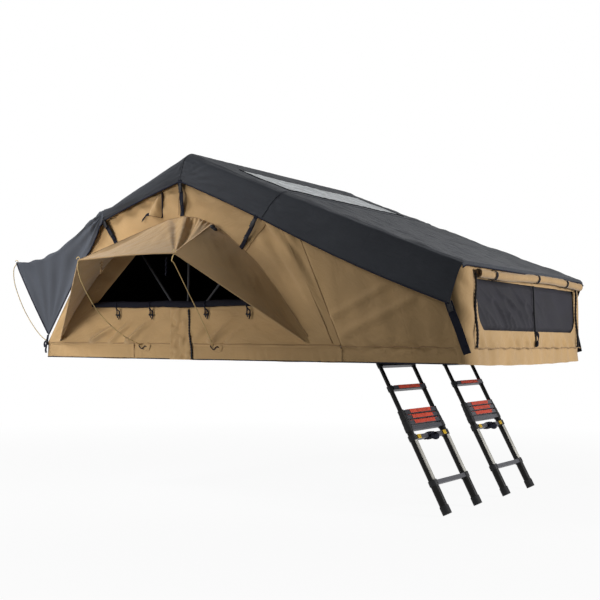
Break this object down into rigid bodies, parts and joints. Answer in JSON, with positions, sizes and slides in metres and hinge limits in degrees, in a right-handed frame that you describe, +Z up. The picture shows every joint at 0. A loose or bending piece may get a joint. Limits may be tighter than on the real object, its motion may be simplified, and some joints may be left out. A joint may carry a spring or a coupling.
{
  "type": "roof top tent",
  "caption": "Fold-out roof top tent with fanned hoops, rain fly, window hood, rear awning, covered entrance and telescopic ladders.",
  "frame": {"origin": "centre of the rack bolt pattern, on the underside of the rack rails", "axes": "+X from the fixed half to the fold-out half, +Z up, the window hood on the -Y side"},
  "size_m": [3.6309, 2.8154, 2.2506],
  "materials": {
    "base_aluminium": "satin",
    "bracket_steel": "satin",
    "bolt_steel": "satin",
    "mattress_cover": "matte",
    "hoop_tube": "satin",
    "canvas": "matte",
    "fly_cloth": "matte",
    "clear_film": "gloss",
    "insect_mesh": "matte",
    "screen_cloth": "matte",
    "webbing": "matte",
    "spring_rod": "satin",
    "ladder_tube": "gloss",
    "latch_plastic": "satin"
  },
  "bodies": {
    "fixed_base": {"fixed_base_panel": "base_aluminium", "fixed_edge_frame": "base_aluminium", "rack_rails": "base_aluminium", "fixed_hinge_ears": "bracket_steel", "pivot_bolts": "bolt_steel", "fixed_mattress": "mattress_cover", "fixed_skirt": "canvas", "near_wall": "canvas", "far_wall": "canvas", "rear_wall": "canvas", "roof_canopy": "canvas", "hinge_gussets": "canvas", "vent_flap": "canvas", "far_window_flap": "canvas", "window_screen_roll": "screen_cloth", "window_hood": "canvas", "hood_rods": "spring_rod", "rain_fly": "fly_cloth", "skylight_panel": "clear_film", "rear_awning": "fly_cloth", "awning_rods": "spring_rod", "near_straps": "webbing", "far_straps": "webbing"},
    "foldout_base": {"foldout_base_panel": "base_aluminium", "foldout_edge_frame": "base_aluminium", "foldout_hinge_ears": "bracket_steel", "foldout_mattress": "mattress_cover", "foldout_skirt": "canvas", "ladder_brackets": "bracket_steel", "entrance_hoop_brackets": "bracket_steel", "door_wall": "canvas", "entrance_near_wall": "canvas", "entrance_far_wall": "canvas", "entrance_front": "canvas", "front_mesh": "insect_mesh", "front_cover_roll": "canvas"},
    "rear_hoop": {"rear_hoop": "hoop_tube"},
    "ridge_hoop": {"ridge_hoop": "hoop_tube"},
    "front_hoop": {"front_hoop": "hoop_tube"},
    "entrance_hoop": {"entrance_hoop": "hoop_tube"},
    "near_ladder_top": {"near_ladder_top": "ladder_tube"},
    "near_ladder_step_7": {"near_ladder_step_7": "ladder_tube"},
    "near_ladder_step_6": {"near_ladder_step_6": "ladder_tube"},
    "near_ladder_step_5": {"near_ladder_step_5": "ladder_tube"},
    "near_ladder_step_4": {"near_ladder_step_4": "ladder_tube"},
    "near_ladder_step_3": {"near_ladder_step_3": "ladder_tube"},
    "near_ladder_step_2": {"near_ladder_step_2": "ladder_tube"},
    "near_ladder_step_1": {"near_ladder_step_1": "ladder_tube"},
    "near_latch_left": {"near_latch_left": "latch_plastic"},
    "near_latch_right": {"near_latch_right": "latch_plastic"},
    "far_ladder_top": {"far_ladder_top": "ladder_tube"},
    "far_ladder_step_7": {"far_ladder_step_7": "ladder_tube"},
    "far_ladder_step_6": {"far_ladder_step_6": "ladder_tube"},
    "far_ladder_step_5": {"far_ladder_step_5": "ladder_tube"},
    "far_ladder_step_4": {"far_ladder_step_4": "ladder_tube"},
    "far_ladder_step_3": {"far_ladder_step_3": "ladder_tube"},
    "far_ladder_step_2": {"far_ladder_step_2": "ladder_tube"},
    "far_ladder_step_1": {"far_ladder_step_1": "ladder_tube"},
    "far_latch_left": {"far_latch_left": "latch_plastic"},
    "far_latch_right": {"far_latch_right": "latch_plastic"}
  },
  "joints": [
    {"name": "main_fold", "type": "hinge", "parent": "fixed_base", "child": "foldout_base", "pos_m": [0.6, 0, 0.19], "axis": [0, -1, 0], "range_deg": [0, 179.5], "deforming": ["near_wall", "far_wall", "rear_wall", "roof_canopy", "hinge_gussets", "vent_flap", "far_window_flap", "window_screen_roll", "window_hood", "hood_rods", "rain_fly", "skylight_panel", "rear_awning", "awning_rods", "near_straps", "far_straps", "door_wall", "entrance_near_wall", "entrance_far_wall", "entrance_front", "front_mesh", "front_cover_roll"]},
    {"name": "rear_hoop_fold", "type": "hinge", "parent": "fixed_base", "child": "rear_hoop", "pos_m": [0.6, 0, 0.19], "axis": [0, -1, 0], "range_deg": [0, 51.8]},
    {"name": "ridge_hoop_fold", "type": "hinge", "parent": "fixed_base", "child": "ridge_hoop", "pos_m": [0.6, 0, 0.19], "axis": [0, -1, 0], "range_deg": [0, 90.7]},
    {"name": "front_hoop_fold", "type": "hinge", "parent": "fixed_base", "child": "front_hoop", "pos_m": [0.6, 0, 0.19], "axis": [0, -1, 0], "range_deg": [0, 132.4]},
    {"name": "entrance_hoop_fold", "type": "hinge", "parent": "foldout_base", "child": "entrance_hoop", "pos_m": [1.815, 0, 0.165], "axis": [0, -1, 0], "range_deg": [0, 152.1]},
    {"name": "near_ladder_swing", "type": "hinge", "parent": "foldout_base", "child": "near_ladder_top", "pos_m": [1.849, -0.5, 0.052], "axis": [0, -1, 0], "range_deg": [0, 45]},
    {"name": "near_step_7_slide", "type": "slide", "parent": "near_ladder_top", "child": "near_ladder_step_7", "axis": [0.4633, 0, -0.8862], "range_m": [-0.128, 0.08]},
    {"name": "near_step_6_slide", "type": "slide", "parent": "near_ladder_step_7", "child": "near_ladder_step_6", "axis": [0.4633, 0, -0.8862], "range_m": [-0.13, 0.09]},
    {"name": "near_step_5_slide", "type": "slide", "parent": "near_ladder_step_6", "child": "near_ladder_step_5", "axis": [0.4633, 0, -0.8862], "range_m": [0, 0.21]},
    {"name": "near_step_4_slide", "type": "slide", "parent": "near_ladder_step_5", "child": "near_ladder_step_4", "axis": [0.4633, 0, -0.8862], "range_m": [0, 0.21]},
    {"name": "near_step_3_slide", "type": "slide", "parent": "near_ladder_step_4", "child": "near_ladder_step_3", "axis": [0.4633, 0, -0.8862], "range_m": [0, 0.21]},
    {"name": "near_step_2_slide", "type": "slide", "parent": "near_ladder_step_3", "child": "near_ladder_step_2", "axis": [0.4633, 0, -0.8862], "range_m": [-0.02, 0.2]},
    {"name": "near_step_1_slide", "type": "slide", "parent": "near_ladder_step_2", "child": "near_ladder_step_1", "axis": [0.4633, 0, -0.8862], "range_m": [-0.12, 0]},
    {"name": "near_left_latch_press", "type": "slide", "parent": "near_ladder_step_2", "child": "near_latch_left", "axis": [0, 1, 0], "range_m": [0, 0.008], "stiffness_N_per_m": 300},
    {"name": "near_right_latch_press", "type": "slide", "parent": "near_ladder_step_2", "child": "near_latch_right", "axis": [0, -1, 0], "range_m": [0, 0.008], "stiffness_N_per_m": 300},
    {"name": "far_ladder_swing", "type": "hinge", "parent": "foldout_base", "child": "far_ladder_top", "pos_m": [1.849, 0.5, 0.052], "axis": [0, -1, 0], "range_deg": [0, 45]},
    {"name": "far_step_7_slide", "type": "slide", "parent": "far_ladder_top", "child": "far_ladder_step_7", "axis": [0.4633, 0, -0.8862], "range_m": [-0.128, 0.08]},
    {"name": "far_step_6_slide", "type": "slide", "parent": "far_ladder_step_7", "child": "far_ladder_step_6", "axis": [0.4633, 0, -0.8862], "range_m": [-0.13, 0.09]},
    {"name": "far_step_5_slide", "type": "slide", "parent": "far_ladder_step_6", "child": "far_ladder_step_5", "axis": [0.4633, 0, -0.8862], "range_m": [0, 0.21]},
    {"name": "far_step_4_slide", "type": "slide", "parent": "far_ladder_step_5", "child": "far_ladder_step_4", "axis": [0.4633, 0, -0.8862], "range_m": [0, 0.21]},
    {"name": "far_step_3_slide", "type": "slide", "parent": "far_ladder_step_4", "child": "far_ladder_step_3", "axis": [0.4633, 0, -0.8862], "range_m": [0, 0.21]},
    {"name": "far_step_2_slide", "type": "slide", "parent": "far_ladder_step_3", "child": "far_ladder_step_2", "axis": [0.4633, 0, -0.8862], "range_m": [-0.02, 0.2]},
    {"name": "far_step_1_slide", "type": "slide", "parent": "far_ladder_step_2", "child": "far_ladder_step_1", "axis": [0.4633, 0, -0.8862], "range_m": [-0.12, 0]},
    {"name": "far_left_latch_press", "type": "slide", "parent": "far_ladder_step_2", "child": "far_latch_left", "axis": [0, 1, 0], "range_m": [0, 0.008], "stiffness_N_per_m": 300},
    {"name": "far_right_latch_press", "type": "slide", "parent": "far_ladder_step_2", "child": "far_latch_right", "axis": [0, -1, 0], "range_m": [0, 0.008], "stiffness_N_per_m": 300}
  ],
  "couplings": [
    {"joint": "rear_hoop_fold", "follows": "main_fold", "ratio": 0.28667},
    {"joint": "ridge_hoop_fold", "follows": "main_fold", "ratio": 0.50278},
    {"joint": "front_hoop_fold", "follows": "main_fold", "ratio": 0.73444}
  ]
}
